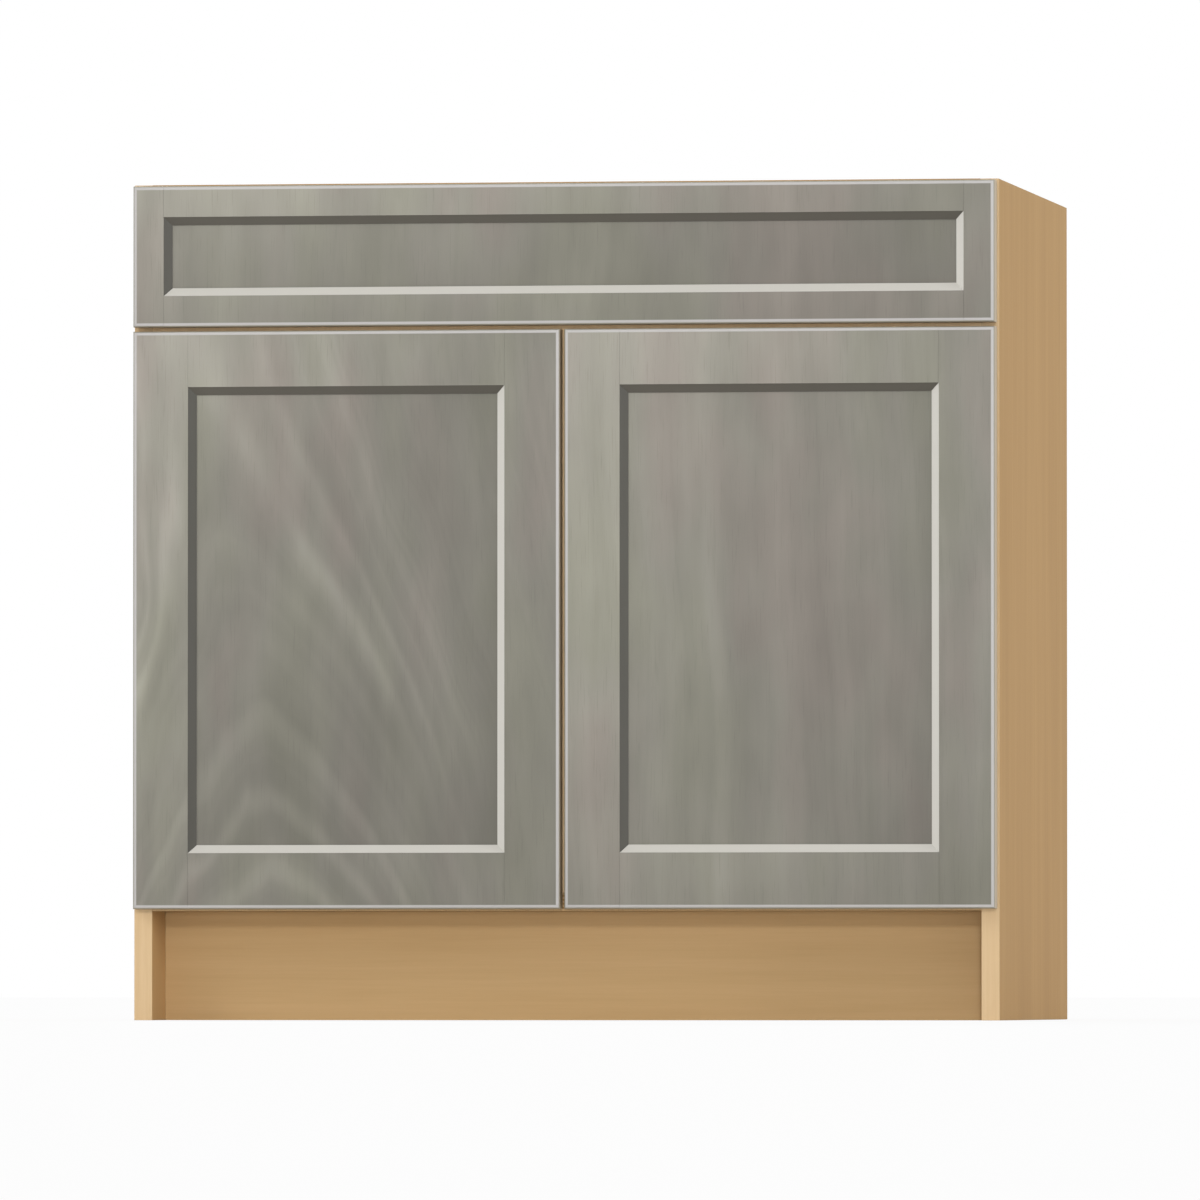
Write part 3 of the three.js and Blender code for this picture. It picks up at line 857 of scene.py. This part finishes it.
def add_arm_screws(hinge, hand):
    low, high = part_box(f"{hinge}_arm")
    top = high.x if hand < 0 else low.x
    for end, forward in ARM_SCREWS:
        point = Vector((top + hand * GRIP, high.y - forward, (low.z + high.z) / 2))
        turn = 0.3 + forward * 30
        place_screw(f"{hinge}_arm_screw_{end}", large_head, point, (-hand, 0, 0), "cabinet", turn)


for side, hand in SIDES:
    for level in LEVELS:
        hinge = f"hinge_{side}_{level}"
        add_cup_screws(hinge, side, hand)
        add_plate_screws(hinge, hand)
        add_arm_screws(hinge, hand)


# ---- Floor, light and camera ----

FLOOR_REACH = 60.0
FLOOR_GAP = 0.0002      # between the floor and the object's lowest faces
FLOOR_WHITE = 0.89      # how much of the floor is plain white to the camera; the rest shows the shadow
WORLD_LIGHT = 0.38      # the strength of the world's light on the object
WORLD_WHITE = 1.0       # and how bright the camera and reflections see the world

# Each light's name, the direction that it comes from, its width in degrees and its strength.
LIGHTS = (
    ("key", (-3.2, -3.4, 3.4), 26.0, 0.18),
    ("front_high", (0.75, -5.0, 0.98), 3.0, 0.16),
    ("front_low", (0.75, -5.0, 0.08), 6.0, 0.185),
    ("side_fill", (6.0, -1.5, 0.5), 14.0, 0.36),
    ("back_fill", (-2.5, 5.0, 2.5), 30.0, 0.24),
    ("top_fill", (0.4, 0.3, 5.0), 40.0, 0.20),
)

# The camera, fitted to the object's corners in the photograph: its place, the point that it aims at, and
# its focal length in pixels of a frame of this width.
CAMERA_PLACE = Vector((2.3827, -15.647, 0.03))
CAMERA_AIM = Vector((0.0403, cad_low.y, 0.4383))
FOCAL_PIXELS = 14884
FRAME_PIXELS = 1200
SENSOR_WIDTH = 36.0


def make_floor():
    """A wide pale floor that is nearly white to the camera and keeps the object's shadow."""
    mesh = bpy.data.meshes.new("floor")
    bm = bmesh.new()
    bmesh.ops.create_grid(bm, x_segments=1, y_segments=1, size=FLOOR_REACH)
    bm.to_mesh(mesh)
    bm.free()
    floor = bpy.data.objects.new("floor", mesh)
    floor.location.z = -FLOOR_GAP
    bpy.context.scene.collection.objects.link(floor)
    material = bpy.data.materials.new("pale_floor")
    material.use_nodes = True
    tree = material.node_tree
    shader = tree.nodes["Principled BSDF"]
    shader.inputs["Base Color"].default_value = (0.90, 0.90, 0.90, 1)
    shader.inputs["Roughness"].default_value = 0.9
    shader.inputs["Specular IOR Level"].default_value = 0.1
    glow = tree.nodes.new("ShaderNodeEmission")
    path = tree.nodes.new("ShaderNodeLightPath")
    seen = tree.nodes.new("ShaderNodeMath")
    seen.operation = "MULTIPLY"
    seen.inputs[1].default_value = FLOOR_WHITE
    blend = tree.nodes.new("ShaderNodeMixShader")
    tree.links.new(path.outputs["Is Camera Ray"], seen.inputs[0])
    tree.links.new(seen.outputs[0], blend.inputs[0])
    tree.links.new(shader.outputs[0], blend.inputs[1])
    tree.links.new(glow.outputs[0], blend.inputs[2])
    tree.links.new(blend.outputs[0], tree.nodes["Material Output"].inputs["Surface"])
    floor.data.materials.append(material)


def make_world():
    """White to the camera and in reflections, and a soft light for everything else."""
    world = bpy.data.worlds.new("studio")
    bpy.context.scene.world = world
    world.use_nodes = True
    tree = world.node_tree
    tree.nodes.clear()
    soft, white = tree.nodes.new("ShaderNodeBackground"), tree.nodes.new("ShaderNodeBackground")
    for shader, strength in ((soft, WORLD_LIGHT), (white, WORLD_WHITE)):
        shader.inputs["Color"].default_value = (1, 1, 1, 1)
        shader.inputs["Strength"].default_value = strength
    path = tree.nodes.new("ShaderNodeLightPath")
    either = tree.nodes.new("ShaderNodeMath")
    either.operation = "MAXIMUM"
    blend, out = tree.nodes.new("ShaderNodeMixShader"), tree.nodes.new("ShaderNodeOutputWorld")
    tree.links.new(path.outputs["Is Camera Ray"], either.inputs[0])
    tree.links.new(path.outputs["Is Glossy Ray"], either.inputs[1])
    tree.links.new(either.outputs[0], blend.inputs[0])
    tree.links.new(soft.outputs[0], blend.inputs[1])
    tree.links.new(white.outputs[0], blend.inputs[2])
    tree.links.new(blend.outputs[0], out.inputs["Surface"])


def add_light(name, source, width, strength):
    """A wide, even light, as of a sun that is width degrees across."""
    light = bpy.data.lights.new(name, "SUN")
    light.angle = math.radians(width)
    light.energy = strength * math.pi
    obj = bpy.data.objects.new(name, light)
    obj.location = source
    obj.rotation_euler = (-Vector(source)).to_track_quat("-Z", "Y").to_euler()
    bpy.context.scene.collection.objects.link(obj)


def make_camera():
    data = bpy.data.cameras.new("camera")
    data.sensor_width = SENSOR_WIDTH
    data.lens = SENSOR_WIDTH * FOCAL_PIXELS / FRAME_PIXELS
    data.clip_start, data.clip_end = 0.1, 200.0
    obj = bpy.data.objects.new("camera", data)
    obj.location = CAMERA_PLACE
    obj.rotation_euler = (CAMERA_AIM - CAMERA_PLACE).to_track_quat("-Z", "Y").to_euler()
    bpy.context.scene.collection.objects.link(obj)
    bpy.context.scene.camera = obj


make_floor()
make_world()
for light in LIGHTS:
    add_light(*light)
make_camera()
bpy.context.scene.view_settings.view_transform = "Standard"
